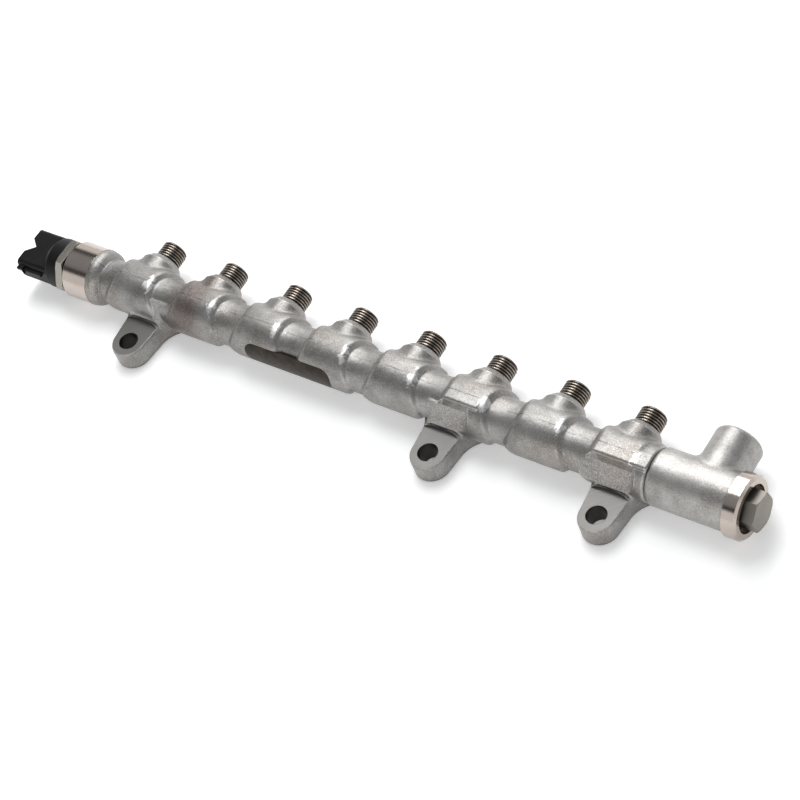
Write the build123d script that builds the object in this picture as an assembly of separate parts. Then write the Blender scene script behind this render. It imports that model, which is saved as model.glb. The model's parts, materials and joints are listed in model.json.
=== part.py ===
from build123d import *
import math
import os

# High-pressure fuel rail for eight injectors, in millimetres.
# While it is built, X runs along the rail from the pressure sensor to the relief valve, the rail's
# axis is Y = Z = 0, the nozzles point along +Y and the fixing lugs reach out along -Y.
# At export everything moves to the row's frame: origin on the centre lug's hole, on the mounting plane.

# ---- rail tube and its bore
nozzle_count = 8
nozzle_pitch = 42.0
neck_d = 23.2
bore_d = 10.0
bore_left_x = -178.0
bore_right_x = 176.0

# ---- forged block that carries each nozzle
block_d = 28.4
block_shift = 0.6
block_length = 38.4
block_crown = 23.5
block_round = 4.0
neck_fillet = 1.5
fillet_share = 0.6

# ---- nozzle (M14 x 1.5, plain at its major diameter) and the boss under it
nozzle_d = 14.0
nozzle_top = 30.0
nozzle_chamfer = 0.8
boss_d = 23.0
boss_y = 19.6
boss_fillet = 4.2
boss_crown_d = 18.0
boss_crown_drop = 3.3
thread_runout_y = 21.3
runout_overlap = 0.4
seat_cone_d = 9.5
seat_cone_angle = 60.0
nozzle_drill_d = 3.0

# ---- fixing lugs
lug_xs = (-139.1, 51.6, 147.0)
lug_hole_y = -28.0
lug_hole_d = 10.5
lug_end_r = 9.6
lug_waist = 10.4
lug_waist_y = 8.5
lug_root = 17.6
lug_root_y = 21.5
lug_flare_bow = 1.5
pad_bottom_z = -16.0
pad_thickness = 12.0
mill_depth = 1.8
mill_wall_y = 13.7
mill_cutter_r = 44.0
lug_edge_r = 4.0
lug_base_r = 1.5
web_left = 10.4
web_foot_height = 3.6
web_crease_y = -8.0
web_crease_z = 9.4
web_edge_r = 5.0
ledge_ridge_y = -6.2
ledge_ridge_z = 14.0
ledge_back_y = 1.5
ledge_sink = 0.2
ledge_inset = 1.0
ledge_right = 9.5
ledge_round = 1.8
relief_depth = 0.4
relief_neck_gap = 0.08
relief_round = 5.0
relief_reach = 17.0
last_relief_reach = 14.0
last_block_d = 27.6
last_block_round = 2.0
seam_overlap = 0.3

# ---- sensor end of the rail
port_face_x = -192.0
port_collar_d = 30.6
port_collar_length = 16.5
port_dome_length = 6.5
port_chamfer = 0.8
port_thread_d = 18.0
port_mouth_chamfer = 1.0

# ---- valve end of the rail
barrel_start_x = 165.5
barrel_d = 28.6
barrel_round = 2.2
ring_start_x = 206.9
ring_d = 31.8
ring_length = 7.5
ring_chamfer = 1.2
counterbore_d = 24.0
counterbore_depth = 9.4
valve_thread_d = 18.0
valve_thread_length = 10.0
drain_chamber_d = 17.0
drain_chamber_length = 9.0
nose_bore_d = 14.6

# ---- return port on the valve end
return_x = 191.8
return_boss_d = 24.4
return_face_y = 31.8
return_boss_round = 2.5
return_fillet = 3.5
return_thread_d = 14.0
return_thread_depth = 13.0
return_drill_d = 5.0
return_mouth_chamfer = 1.0

# ---- pressure sensor
sensor_clearance = 0.05
sensor_gap = 1.1
sensor_hex_af = 27.0
sensor_hex_length = 4.6
sensor_hex_chamfer = 1.4
sensor_hex_turn = 0.0
sensor_rim_d = 24.0
sensor_rim_length = 3.3
sensor_cup_d = 19.0
sensor_cup_floor = 1.1
channel_d = 3.0
cell_d = 9.0
cell_height = 4.5
cell_membrane = 0.4
cell_cavity_d = 5.0
carrier_wall = 4.0
carrier_height = 5.0
board_thickness = 1.2
chip_side = 5.0
chip_height = 1.0
chip_offset = 4.6
housing_d = 27.0
housing_shoulder = 11.0
housing_cone_d = 21.0
housing_cone_length = 3.5
housing_round = 1.5
housing_floor = 2.0
spigot_wall = 1.6
connector_width = 24.0
connector_height = 14.0
connector_length = 17.0
connector_wall = 1.8
connector_corner_r = 2.4
socket_depth = 13.0
notch_width = 9.0
notch_length = 5.0
latch_height = 2.0
latch_width = 4.0
latch_length = 4.0
latch_rib_width = 1.6
latch_z = 3.0
terminal_count = 3
terminal_pitch = 5.0
terminal_width = 2.2
terminal_thickness = 0.8
terminal_tip_inset = 4.0
terminal_foot = 2.4
spring_leaf = 0.3
spring_reach = 4.0
oring_section = 1.4

# ---- relief valve
valve_clearance = 0.05
valve_hex_af = 17.0
valve_proud = 5.6
valve_hex_chamfer = 1.0
valve_hex_turn = 43.0
valve_nose_chamfer = 0.8
valve_collar_clearance = 0.3
valve_collar_length = 4.5
valve_oring_section = 2.0
valve_stem_d = 14.0
guide_bore_d = 8.2
guide_clearance = 0.04
seat_insert_d = 10.0
seat_insert_length = 6.0
orifice_d = 2.6
seat_gap = 0.05
cone_d = 5.0
cone_neck_length = 9.0
cone_guide_length = 8.0
drain_hole_d = 2.5
drain_hole_count = 4
valve_spring_wire = 1.2
valve_spring_od = 7.4
valve_spring_turns = 6.0
valve_spring_length = 11.0
shim_thickness = 1.5

# ---- worked-out places
pad_top_z = pad_bottom_z + pad_thickness
mill_wall = lug_hole_y + mill_wall_y
counterbore_floor_x = ring_start_x + ring_length - counterbore_depth
ring_face_x = ring_start_x + ring_length
drain_left_x = counterbore_floor_x - valve_thread_length - drain_chamber_length
sensor_hex_right_x = port_face_x - sensor_gap
sensor_hex_left_x = sensor_hex_right_x - sensor_hex_length
sensor_rim_x = sensor_hex_left_x - sensor_rim_length
cup_floor_x = sensor_hex_right_x - sensor_cup_floor
board_right_x = cup_floor_x - carrier_height
board_left_x = board_right_x - board_thickness
housing_left_x = sensor_hex_left_x - housing_shoulder
connector_mouth_x = housing_left_x - connector_length
socket_floor_x = connector_mouth_x + socket_depth
terminal_foot_x = board_left_x - spring_reach
oring_mean_r = (sensor_rim_d + sensor_cup_d) / 4
drain_hole_x = bore_right_x + seat_insert_length + drain_hole_d
cone_guide_x = bore_right_x + seat_insert_length + cone_neck_length
spring_start_x = cone_guide_x + cone_guide_length
spring_end_x = spring_start_x + valve_spring_length
row_origin = Vector(lug_xs[1], lug_hole_y, pad_bottom_z)


def along_x(diameter, start_x, end_x):
    """A cylinder on the rail's axis."""
    return Pos((start_x + end_x) / 2, 0, 0) * Rot(0, 90, 0) * Cylinder(diameter / 2, abs(end_x - start_x))


def along_y(diameter, x, start_y, end_y):
    """A cylinder parallel to the nozzles."""
    return Pos(x, (start_y + end_y) / 2, 0) * Rot(90, 0, 0) * Cylinder(diameter / 2, abs(end_y - start_y))


def turned_about_x(points):
    """A solid turned about the rail's axis, from (x, radius) points."""
    return revolve(make_face(Polyline(*points, close=True)), Axis.X)


def nozzle_xs():
    first = -nozzle_pitch * (nozzle_count - 1) / 2
    return [first + nozzle_pitch * i for i in range(nozzle_count)]


def forged_block():
    """One pitch of the rail: neck, block and nozzle boss, blended where they meet."""
    half = block_length / 2
    crown = block_crown / 2
    reach = block_d / 2
    core = Pos(0, block_shift, 0) * along_x(block_d, -half, half)
    outline = Polyline(
        (-half, 0),
        (-crown, reach),
        (crown, reach),
        (half, 0),
        (crown, -reach),
        (-crown, -reach),
        close=True,
    )
    envelope = extrude(Plane.XZ * make_face(outline), block_d, both=True)
    block = core & envelope
    block = fillet(block.edges(), block_round)
    unit = block + along_x(neck_d, -nozzle_pitch, nozzle_pitch)

    def on_neck(edge):
        points = [edge.position_at(u) for u in (0, 0.3, 0.6, 1)]
        radial = all(abs(math.hypot(p.Y, p.Z) - neck_d / 2) < 0.01 for p in points)
        return radial and abs(edge.center().X) < nozzle_pitch - 0.1

    wall = fillet_share * (block_d - neck_d) / 2
    unit = fillet(unit.edges().filter_by(on_neck), min(neck_fillet, wall))
    unit += along_y(boss_d, 0, 0, 2 * boss_y)

    def on_boss(edge):
        points = [edge.position_at(u) for u in (0, 0.3, 0.6, 1)]
        radial = all(abs(math.hypot(p.X, p.Z) - boss_d / 2) < 0.01 for p in points)
        return radial and edge.center().Y < boss_y

    unit = fillet(unit.edges().filter_by(on_boss), boss_fillet)
    crown_r = boss_crown_d / 2
    edge_r = boss_d / 2 + boss_fillet / 2
    edge_y = boss_y - boss_crown_drop * (edge_r - crown_r) / (boss_d / 2 - crown_r)
    above = revolve(make_face(Polyline(
        (0, boss_y),
        (crown_r, boss_y),
        (edge_r, edge_y),
        (edge_r, 3 * boss_y),
        (0, 3 * boss_y),
        close=True,
    )), Axis.Y)
    return (unit - above) & Box(nozzle_pitch, 4 * block_d, 4 * block_d)


def nozzle():
    """Threaded nozzle with its run-out cone on the boss, turned about +Y at X = 0."""
    r = nozzle_d / 2
    foot = boss_crown_d / 2 - runout_overlap
    return revolve(make_face(Polyline(
        (0, 0),
        (foot, 0),
        (foot, boss_y),
        (r, thread_runout_y),
        (r, nozzle_top - nozzle_chamfer),
        (r - nozzle_chamfer, nozzle_top),
        (0, nozzle_top),
        close=True,
    )), Axis.Y)


def nozzle_drilling():
    """Sealing cone and cross drilling of one nozzle, at X = 0."""
    mouth = seat_cone_d / 2
    drill = nozzle_drill_d / 2
    depth = (mouth - drill) / math.tan(math.radians(seat_cone_angle / 2))
    profile = Polyline(
        (0, nozzle_top),
        (mouth, nozzle_top),
        (drill, nozzle_top - depth),
        (drill, 0),
        (0, 0),
        close=True,
    )
    return revolve(make_face(profile), Axis.Y)


def flare():
    """The lug's side in plan, from beside the hole out to the rail, about the hole's centre."""
    middle = (lug_waist_y + lug_root_y) / 2
    return ThreePointArc((lug_waist, lug_waist_y), (lug_waist + lug_flare_bow, middle), (lug_root, lug_root_y))


def lug_pad():
    """The lug's flat pad with its rims filleted, about the hole's centre, standing on Z = 0."""
    side = Line((lug_end_r, 0), (lug_waist, lug_waist_y))
    right = [side, flare()]
    left = [mirror(edge, about=Plane.YZ) for edge in right]
    root = Polyline((lug_root, lug_root_y), (lug_root, -lug_hole_y), (-lug_root, -lug_hole_y), (-lug_root, lug_root_y))
    end = ThreePointArc((-lug_end_r, 0), (0, -lug_end_r), (lug_end_r, 0))
    outline = [end, *right, root, *left]
    pad = extrude(make_face([edge for part in outline for edge in part.edges()]), pad_thickness + mill_depth)
    base = pad.edges().group_by(Axis.Z)[0].filter_by(lambda e: e.center().Y < -lug_hole_y - 0.1)
    pad = fillet(base, lug_base_r)
    rim = pad.edges().group_by(Axis.Z)[-1].filter_by(lambda e: e.center().Y < -lug_hole_y - 0.1)
    return fillet(rim, lug_edge_r)


def lug_web():
    """The sloping web from the milled seat's wall up to the block, about the hole's centre."""
    back_y = -lug_hole_y
    crease_y = web_crease_y - lug_hole_y
    crease_z = web_crease_z - pad_bottom_z
    outline = Polyline(
        (lug_root, lug_root_y),
        (lug_root, back_y),
        (-web_left, back_y),
        (-web_left, lug_waist_y),
        (lug_waist, lug_waist_y),
    )
    prism = extrude(make_face([*flare().edges(), *outline.edges()]), crease_z + lug_edge_r)
    foot = pad_thickness + web_foot_height
    slope_outline = Polyline(
        (mill_wall_y, lug_base_r),
        (mill_wall_y, foot),
        (crease_y, crease_z),
        (back_y, crease_z),
        (back_y, lug_base_r),
        close=True,
    )
    web = prism & extrude(Plane.YZ * make_face(slope_outline), 2 * lug_root, both=True)
    slope = web.faces().sort_by(Axis.Z)[-2]
    sides = slope.edges().filter_by(lambda e: abs(e.center().X) > web_left / 2)
    return fillet(sides, web_edge_r)


def ledge(right):
    """The ledge along a block's front above a web, with its ridge rounded, about the block's middle."""
    reach = block_d / 2
    outline = Polyline(
        (ledge_back_y, reach - ledge_sink),
        (ledge_ridge_y, ledge_ridge_z),
        (web_crease_y, web_crease_z),
        (0, 0),
        close=True,
    )
    bar = extrude(Plane.YZ * make_face(outline), block_length, both=True)
    foot = ledge_inset - block_length / 2
    lean = (block_length - block_crown) / 2 / reach
    side = Polyline((foot, 0), (foot + lean * block_d, block_d), (right, block_d), (right, 0), close=True)
    bar &= extrude(Plane.XZ * make_face(side), block_d, both=True)
    outer = bar.edges().filter_by(lambda e: e.center().Z > web_crease_z and e.center().Y < ledge_back_y - 0.1)
    return fillet(outer, ledge_round)


def relief(left, right):
    """What is missing from a block's front between its ledge and a web, down to just over the neck."""
    slope = Vector(0, web_crease_y - mill_wall, web_crease_z - pad_top_z - web_foot_height).normalized()
    inward = Vector(0, slope.Z, -slope.Y) * relief_depth
    crease = Vector(0, web_crease_y, web_crease_z) + inward
    foot = crease - slope * block_d
    lip = Vector(0, ledge_ridge_y, ledge_ridge_z) + inward
    outline = Polyline(
        (lip.Y, lip.Z),
        (crease.Y, crease.Z),
        (foot.Y, foot.Z),
        (foot.Y, block_d),
        (lip.Y, block_d),
        close=True,
    )
    tool = extrude(Plane.YZ * make_face(outline), right - left)
    corner = tool.edges().group_by(Axis.X)[-1].sort_by(lambda e: abs(e.center().Z - (crease.Z + foot.Z) / 2))[0]
    tool = Pos(left, 0, 0) * fillet(corner, relief_round)
    return tool - along_x(neck_d + 2 * relief_neck_gap, left - 1, right + 1)


def sensor_end():
    """Turned collar and forged dome round the sensor port."""
    r = port_collar_d / 2
    shoulder_x = port_face_x + port_collar_length
    end_x = shoulder_x + port_dome_length
    first = nozzle_xs()[0]
    dome = ThreePointArc(
        (shoulder_x, r - 0.3),
        (shoulder_x + port_dome_length * 0.62, (r + neck_d / 2) / 2 + 0.7),
        (end_x, neck_d / 2),
    )
    rest = Polyline(
        (end_x, neck_d / 2),
        (first, neck_d / 2),
        (first, 0),
        (port_face_x, 0),
        (port_face_x, r - port_chamfer),
        (port_face_x + port_chamfer, r),
        (shoulder_x, r),
        (shoulder_x, r - 0.3),
    )
    return revolve(make_face(Wire([*dome.edges(), *rest.edges()])), Axis.X)


def valve_end():
    """Barrel, polished ring and return boss round the valve."""
    barrel = along_x(barrel_d, barrel_start_x, ring_face_x)
    barrel = fillet(barrel.edges().group_by(Axis.X)[0], barrel_round)
    boss = along_y(return_boss_d, return_x, 0, return_face_y)
    boss = fillet(boss.edges().group_by(Axis.Y)[-1], return_boss_round)
    end = barrel + boss

    def joint(edge):
        points = [edge.position_at(u) for u in (0, 0.3, 0.6, 1)]
        on_boss = all(abs(math.hypot(p.X - return_x, p.Z) - return_boss_d / 2) < 0.01 for p in points)
        on_barrel = all(abs(math.hypot(p.Y, p.Z) - barrel_d / 2) < 0.01 for p in points)
        return on_boss and on_barrel

    end = fillet(end.edges().filter_by(joint), return_fillet)
    ring = chamfer(along_x(ring_d, ring_start_x, ring_face_x).edges().group_by(Axis.X)[-1], ring_chamfer)
    return end + ring


def bores():
    """Everything that is drilled or turned out of the rail."""
    bore_r = bore_d / 2
    port_r = port_thread_d / 2 + sensor_clearance
    counter_r = counterbore_d / 2
    thread_r = valve_thread_d / 2 + valve_clearance
    chamber_r = drain_chamber_d / 2
    nose_r = nose_bore_d / 2
    thread_left_x = counterbore_floor_x - valve_thread_length
    cuts = turned_about_x([
        (port_face_x - 1, 0),
        (port_face_x - 1, port_r + port_mouth_chamfer + 1),
        (port_face_x + port_mouth_chamfer, port_r),
        (bore_left_x, port_r),
        (bore_left_x, bore_r),
        (bore_right_x, bore_r),
        (bore_right_x, nose_r),
        (drain_left_x, nose_r),
        (drain_left_x, chamber_r),
        (thread_left_x, chamber_r),
        (thread_left_x, thread_r),
        (counterbore_floor_x, thread_r),
        (counterbore_floor_x, counter_r),
        (ring_face_x + 1, counter_r),
        (ring_face_x + 1, 0),
    ])
    for x in nozzle_xs():
        cuts += Pos(x, 0, 0) * nozzle_drilling()
    thread = return_thread_d / 2
    drill = return_drill_d / 2
    thread_foot_y = return_face_y - return_thread_depth
    port = Polyline(
        (0, 0),
        (drill, 0),
        (drill, thread_foot_y - (thread - drill) / 2),
        (thread, thread_foot_y),
        (thread, return_face_y - return_mouth_chamfer),
        (thread + return_mouth_chamfer, return_face_y),
        (0, return_face_y),
        close=True,
    )
    return cuts + Pos(return_x, 0, 0) * revolve(make_face(port), Axis.Y)


def rail_body():
    """The one-piece forging, put together from its two ends and the stretch between them."""
    block = forged_block() + nozzle()
    blocks = [Pos(x, 0, 0) * block for x in nozzle_xs()]
    cutter = Cylinder(mill_cutter_r, 2 * block_d, align=(Align.CENTER, Align.CENTER, Align.MIN))
    seat = Pos(0, mill_wall_y - mill_cutter_r, pad_thickness) * cutter
    hole = Cylinder(lug_hole_d / 2, 4 * pad_thickness)
    one_lug = lug_pad() + lug_web() - seat - hole
    lugs = [Pos(x, lug_hole_y, pad_bottom_z) * one_lug for x in lug_xs]
    centre_x = min(nozzle_xs(), key=lambda x: abs(x - lug_xs[1]))
    last_x = nozzle_xs()[-1]
    centre_relief = relief(centre_x - block_length / 2, lug_xs[1] + relief_reach)
    last_relief = relief(last_x - block_length / 2, lug_xs[-1] + last_relief_reach)
    seam_x = barrel_start_x + seam_overlap
    last_run = along_x(last_block_d, last_x, seam_x)
    last_run = fillet(last_run.edges().group_by(Axis.X)[-1], last_block_round)
    sensor_side = blocks[0] + lugs[0] + sensor_end()
    last_block = blocks[-1] + last_run - last_relief + Pos(last_x, 0, 0) * ledge(seam_x - last_x)
    valve_side = last_block + lugs[-1] + valve_end()
    middle = blocks[1] + blocks[2:-1] - centre_relief + Pos(centre_x, 0, 0) * ledge(ledge_right) + lugs[1]
    return middle + [sensor_side, valve_side] - bores()


def turned(points):
    """A turned piece on the rail's axis, from closed (x, radius) points."""
    return turned_about_x(points)


def hexagon(across_flats, start_x, end_x, turn=0):
    """A hexagonal prism on the rail's axis, turned about it by some degrees."""
    outline = RegularPolygon(across_flats / 2, 6, major_radius=False)
    plane = Plane(origin=(start_x, 0, 0), x_dir=(0, 1, 0), z_dir=(1, 0, 0))
    return Rot(turn, 0, 0) * extrude(plane * outline, end_x - start_x)


def sensor_body():
    """Steel body: threaded shank, hexagon, crimp rim and the cup round the measuring cell."""
    shank_r = port_thread_d / 2
    rim_r = sensor_rim_d / 2
    cup_r = sensor_cup_d / 2
    channel_r = channel_d / 2
    turned_part = turned([
        (bore_left_x, channel_r),
        (bore_left_x, shank_r - port_mouth_chamfer),
        (bore_left_x - port_mouth_chamfer, shank_r),
        (sensor_hex_right_x, shank_r),
        (sensor_hex_right_x, rim_r),
        (sensor_rim_x, rim_r),
        (sensor_rim_x, cup_r),
        (cup_floor_x, cup_r),
        (cup_floor_x, channel_r),
    ])
    hexagon_part = hexagon(sensor_hex_af, sensor_hex_left_x, sensor_hex_right_x, sensor_hex_turn)
    corner = sensor_hex_af / math.sqrt(3)
    envelope = turned([
        (sensor_hex_left_x, 0),
        (sensor_hex_left_x, corner - sensor_hex_chamfer),
        (sensor_hex_left_x + sensor_hex_chamfer / 2, corner),
        (sensor_hex_right_x - sensor_hex_chamfer / 2, corner),
        (sensor_hex_right_x, corner - sensor_hex_chamfer),
        (sensor_hex_right_x, 0),
    ])
    collar = (hexagon_part & envelope) - along_x(sensor_rim_d - 1, sensor_hex_left_x - 1, sensor_hex_right_x + 1)
    return turned_part + collar


def sensor_cell():
    """Steel measuring cell: a small cup whose end is the membrane."""
    return turned([
        (cup_floor_x, cell_cavity_d / 2),
        (cup_floor_x, cell_d / 2),
        (cup_floor_x - cell_height, cell_d / 2),
        (cup_floor_x - cell_height, 0),
        (cup_floor_x - cell_height + cell_membrane, 0),
        (cup_floor_x - cell_height + cell_membrane, cell_cavity_d / 2),
    ])


def carrier_ring():
    """Plastic ring that holds the circuit board over the cell."""
    outer = sensor_cup_d / 2 - sensor_clearance
    ring = along_x(2 * outer, board_right_x, cup_floor_x)
    return ring - along_x(2 * (outer - carrier_wall), board_right_x, cup_floor_x)


def circuit_board():
    """Round board on the carrier ring."""
    return along_x(sensor_cup_d - 2 * sensor_clearance, board_left_x, board_right_x)


def signal_chip():
    """Signal chip on the board's outer side."""
    chip = Box(chip_height, chip_side, chip_side)
    return Pos(board_left_x - chip_height / 2, 0, -chip_offset) * chip


def terminal_ys():
    return [terminal_pitch * (i - (terminal_count - 1) / 2) for i in range(terminal_count)]


def contact_spring(y):
    """Bent leaf spring between a board pad and a terminal's foot."""
    start = board_left_x - spring_leaf / 2
    end = terminal_foot_x + spring_leaf / 2
    span = start - end
    bow = span * 0.55
    spine = Polyline(
        (start, 1.0),
        (start, -1.0),
        (start - 0.25 * span, -1.0),
        (start - 0.5 * span, bow - 1.0),
        (start - 0.75 * span, -1.0),
        (end, -1.0),
        (end, 1.0),
    )
    return Pos(0, y, 0) * extrude(Plane.XZ * make_face(offset(spine, spring_leaf / 2).edges()), terminal_width / 2, both=True)


def terminal(y):
    """Blade that runs from its foot through the housing's floor into the socket."""
    foot = Box(terminal_thickness, terminal_width, terminal_foot)
    tip_x = connector_mouth_x + terminal_tip_inset
    length = terminal_foot_x - tip_x
    blade = Box(length, terminal_width, terminal_thickness)
    blade = chamfer(blade.edges().group_by(Axis.X)[0], terminal_thickness / 4)
    return Pos(terminal_foot_x - terminal_thickness / 2, y, 0) * foot + Pos(tip_x + length / 2, y, 0) * blade


def sensor_housing():
    """Black plastic housing: round skirt over the crimp rim, and the socket."""
    r = housing_d / 2
    neck_x = housing_left_x + housing_cone_length
    spigot_r = sensor_cup_d / 2 - sensor_clearance
    chamber_r = spigot_r - spigot_wall
    chamber_x = terminal_foot_x - terminal_thickness
    rim_r = sensor_rim_d / 2 + sensor_clearance
    skirt = turned([
        (housing_left_x, 0),
        (housing_left_x, housing_cone_d / 2),
        (neck_x, r),
        (sensor_hex_left_x, r),
        (sensor_hex_left_x, rim_r),
        (sensor_rim_x, rim_r),
        (sensor_rim_x, spigot_r),
        (board_left_x, spigot_r),
        (board_left_x, chamber_r),
        (chamber_x, chamber_r),
        (chamber_x, 0),
    ])
    skirt = fillet(skirt.edges().filter_by(lambda e: abs(e.center().X - neck_x) < 0.01), housing_round)
    shell = Box(connector_length + housing_cone_length, connector_width, connector_height)
    shell = fillet(shell.edges().filter_by(Axis.X), connector_corner_r)
    shell = Pos((connector_mouth_x + neck_x) / 2, 0, 0) * shell
    inner_r = connector_corner_r - connector_wall / 2
    socket = Box(socket_depth, connector_width - 2 * connector_wall, connector_height - 2 * connector_wall)
    socket = fillet(socket.edges().filter_by(Axis.X), inner_r)
    socket = Pos(connector_mouth_x + socket_depth / 2, 0, 0) * socket
    notch_outline = Polyline((0, notch_width / 2), (notch_length, 0), (0, -notch_width / 2), close=True)
    notch = Pos(connector_mouth_x, 0, 0) * extrude(make_face(notch_outline), connector_height)
    rib_reach = connector_width / 2 + latch_height
    rib = Box(connector_length, 2 * latch_height, latch_rib_width)
    rib = Pos(connector_mouth_x + connector_length / 2, -connector_width / 2, latch_z) * rib
    nose_outline = Polyline(
        (connector_mouth_x + 1, -connector_width / 2 + 1),
        (connector_mouth_x + 1, -connector_width / 2 - latch_height / 2),
        (connector_mouth_x + 1 + latch_length, -rib_reach - latch_height / 2),
        (connector_mouth_x + 1 + latch_length, -connector_width / 2 + 1),
        close=True,
    )
    nose = Pos(0, 0, latch_z - latch_width / 2) * extrude(make_face(nose_outline), latch_width)
    housing = skirt + shell + rib + nose - socket - notch
    for y in terminal_ys():
        slot = Box(chamber_x - socket_floor_x + 2, terminal_width, terminal_thickness)
        housing -= Pos((chamber_x + socket_floor_x) / 2, y, 0) * slot
    groove = turned([
        (sensor_rim_x - oring_section, oring_mean_r - oring_section / 2),
        (sensor_rim_x - oring_section, oring_mean_r + oring_section / 2),
        (sensor_rim_x, oring_mean_r + oring_section / 2),
        (sensor_rim_x, oring_mean_r - oring_section / 2),
    ])
    return housing - groove


def sensor_o_ring():
    """Seal between the crimp rim and the housing's groove."""
    ring = Torus(oring_mean_r, oring_section / 2 - sensor_clearance / 2)
    return Pos(sensor_rim_x - oring_section / 2, 0, 0) * Rot(0, 90, 0) * ring


def valve_body():
    """Relief valve's body: hexagon, sealing collar, threaded shank and hollow stem."""
    thread_r = valve_thread_d / 2
    stem_r = valve_stem_d / 2
    collar_r = counterbore_d / 2 - valve_collar_clearance
    groove_r = counterbore_d / 2 - valve_oring_section
    thread_left_x = counterbore_floor_x - valve_thread_length
    groove_left = counterbore_floor_x + (valve_collar_length - valve_oring_section) / 2
    groove_right = groove_left + valve_oring_section
    collar_x = counterbore_floor_x + valve_collar_length
    body = turned([
        (bore_right_x, 0),
        (bore_right_x, stem_r - valve_nose_chamfer),
        (bore_right_x + valve_nose_chamfer, stem_r),
        (thread_left_x, stem_r),
        (thread_left_x, thread_r - valve_nose_chamfer),
        (thread_left_x + valve_nose_chamfer, thread_r),
        (counterbore_floor_x, thread_r),
        (counterbore_floor_x, collar_r),
        (groove_left, collar_r),
        (groove_left, groove_r),
        (groove_right, groove_r),
        (groove_right, collar_r),
        (collar_x, collar_r),
        (collar_x, 0),
    ])
    end_x = ring_face_x + valve_proud
    corner = valve_hex_af / math.sqrt(3)
    envelope = turned([
        (collar_x, 0),
        (collar_x, corner + 1),
        (end_x - valve_hex_chamfer / 2, corner + 1),
        (end_x - valve_hex_chamfer / 2, corner),
        (end_x, corner - valve_hex_chamfer),
        (end_x, 0),
    ])
    body += hexagon(valve_hex_af, collar_x, end_x, valve_hex_turn) & envelope
    body -= along_x(seat_insert_d, bore_right_x, bore_right_x + seat_insert_length)
    body -= along_x(guide_bore_d, bore_right_x, spring_end_x + shim_thickness)
    for i in range(drain_hole_count):
        hole = Pos(drain_hole_x, 0, 0) * Cylinder(drain_hole_d / 2, stem_r + 1, align=(Align.CENTER, Align.CENTER, Align.MIN))
        body -= Rot(360 / drain_hole_count * (i + 0.5), 0, 0) * hole
    return body


def valve_seat():
    """Hard seat pressed into the stem, with its orifice and seat cone."""
    orifice = orifice_d / 2
    r = seat_insert_d / 2
    end_x = bore_right_x + seat_insert_length
    cone_mouth = cone_d / 2 + 0.5
    return turned([
        (bore_right_x, orifice),
        (bore_right_x, r),
        (end_x, r),
        (end_x, cone_mouth),
        (end_x - (cone_mouth - orifice), orifice),
    ])


def valve_cone():
    """Moving cone with its neck and the guide that runs in the stem's bore."""
    orifice = orifice_d / 2
    end_x = bore_right_x + seat_insert_length
    cone_mouth = cone_d / 2 + 0.5
    seat_x = end_x - (cone_mouth - orifice)
    tip_x = seat_x + seat_gap * math.sqrt(2)
    guide_r = guide_bore_d / 2 - guide_clearance
    neck_r = cone_d / 2
    return turned([
        (tip_x, 0),
        (tip_x, orifice),
        (tip_x + neck_r - orifice, neck_r),
        (cone_guide_x, neck_r),
        (cone_guide_x, guide_r),
        (cone_guide_x + cone_guide_length, guide_r),
        (cone_guide_x + cone_guide_length, 0),
    ])


def valve_spring():
    """Coil spring between the cone's guide and the shim."""
    radius = (valve_spring_od - valve_spring_wire) / 2
    length = spring_end_x - spring_start_x - valve_spring_wire
    path = Helix(length / valve_spring_turns, length, radius, center=(spring_start_x + valve_spring_wire / 2, 0, 0), direction=(1, 0, 0))
    section = Plane(origin=path @ 0, z_dir=path % 0) * Circle(valve_spring_wire / 2)
    return sweep(section, path)


def spring_shim():
    """Disc that sets the spring's load."""
    return along_x(valve_spring_od + 0.4, spring_end_x, spring_end_x + shim_thickness)


def valve_o_ring():
    """Seal in the valve collar's groove."""
    mean_r = counterbore_d / 2 - valve_oring_section / 2
    x = counterbore_floor_x + valve_collar_length / 2
    return Pos(x, 0, 0) * Rot(0, 90, 0) * Torus(mean_r, valve_oring_section / 2 - valve_clearance / 2)


def pieces():
    """Every piece by its node's name."""
    named = {
        "rail_body": rail_body(),
        "sensor_body": sensor_body(),
        "sensor_cell": sensor_cell(),
        "carrier_ring": carrier_ring(),
        "circuit_board": circuit_board(),
        "signal_chip": signal_chip(),
        "sensor_housing": sensor_housing(),
        "sensor_o_ring": sensor_o_ring(),
        "valve_body": valve_body(),
        "valve_seat": valve_seat(),
        "valve_cone": valve_cone(),
        "valve_spring": valve_spring(),
        "spring_shim": spring_shim(),
        "valve_o_ring": valve_o_ring(),
    }
    for number, y in enumerate(terminal_ys(), start=1):
        named[f"terminal_{number}"] = terminal(y)
        named[f"contact_spring_{number}"] = contact_spring(y)
    return named


def main():
    os.makedirs("parts", exist_ok=True)
    for name, solid in pieces().items():
        export_step(Pos(-row_origin) * solid, f"parts/{name}.step")


if __name__ == "__main__":
    main()
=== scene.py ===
"""Looks for the eight-outlet fuel rail: finishes, threads, floor, lamps and camera round the fixed frame."""
import json
import logging
import math
from dataclasses import dataclass, field
from enum import Enum
from typing import Any

import bmesh
import bpy
from mathutils import Matrix, Vector

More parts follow.
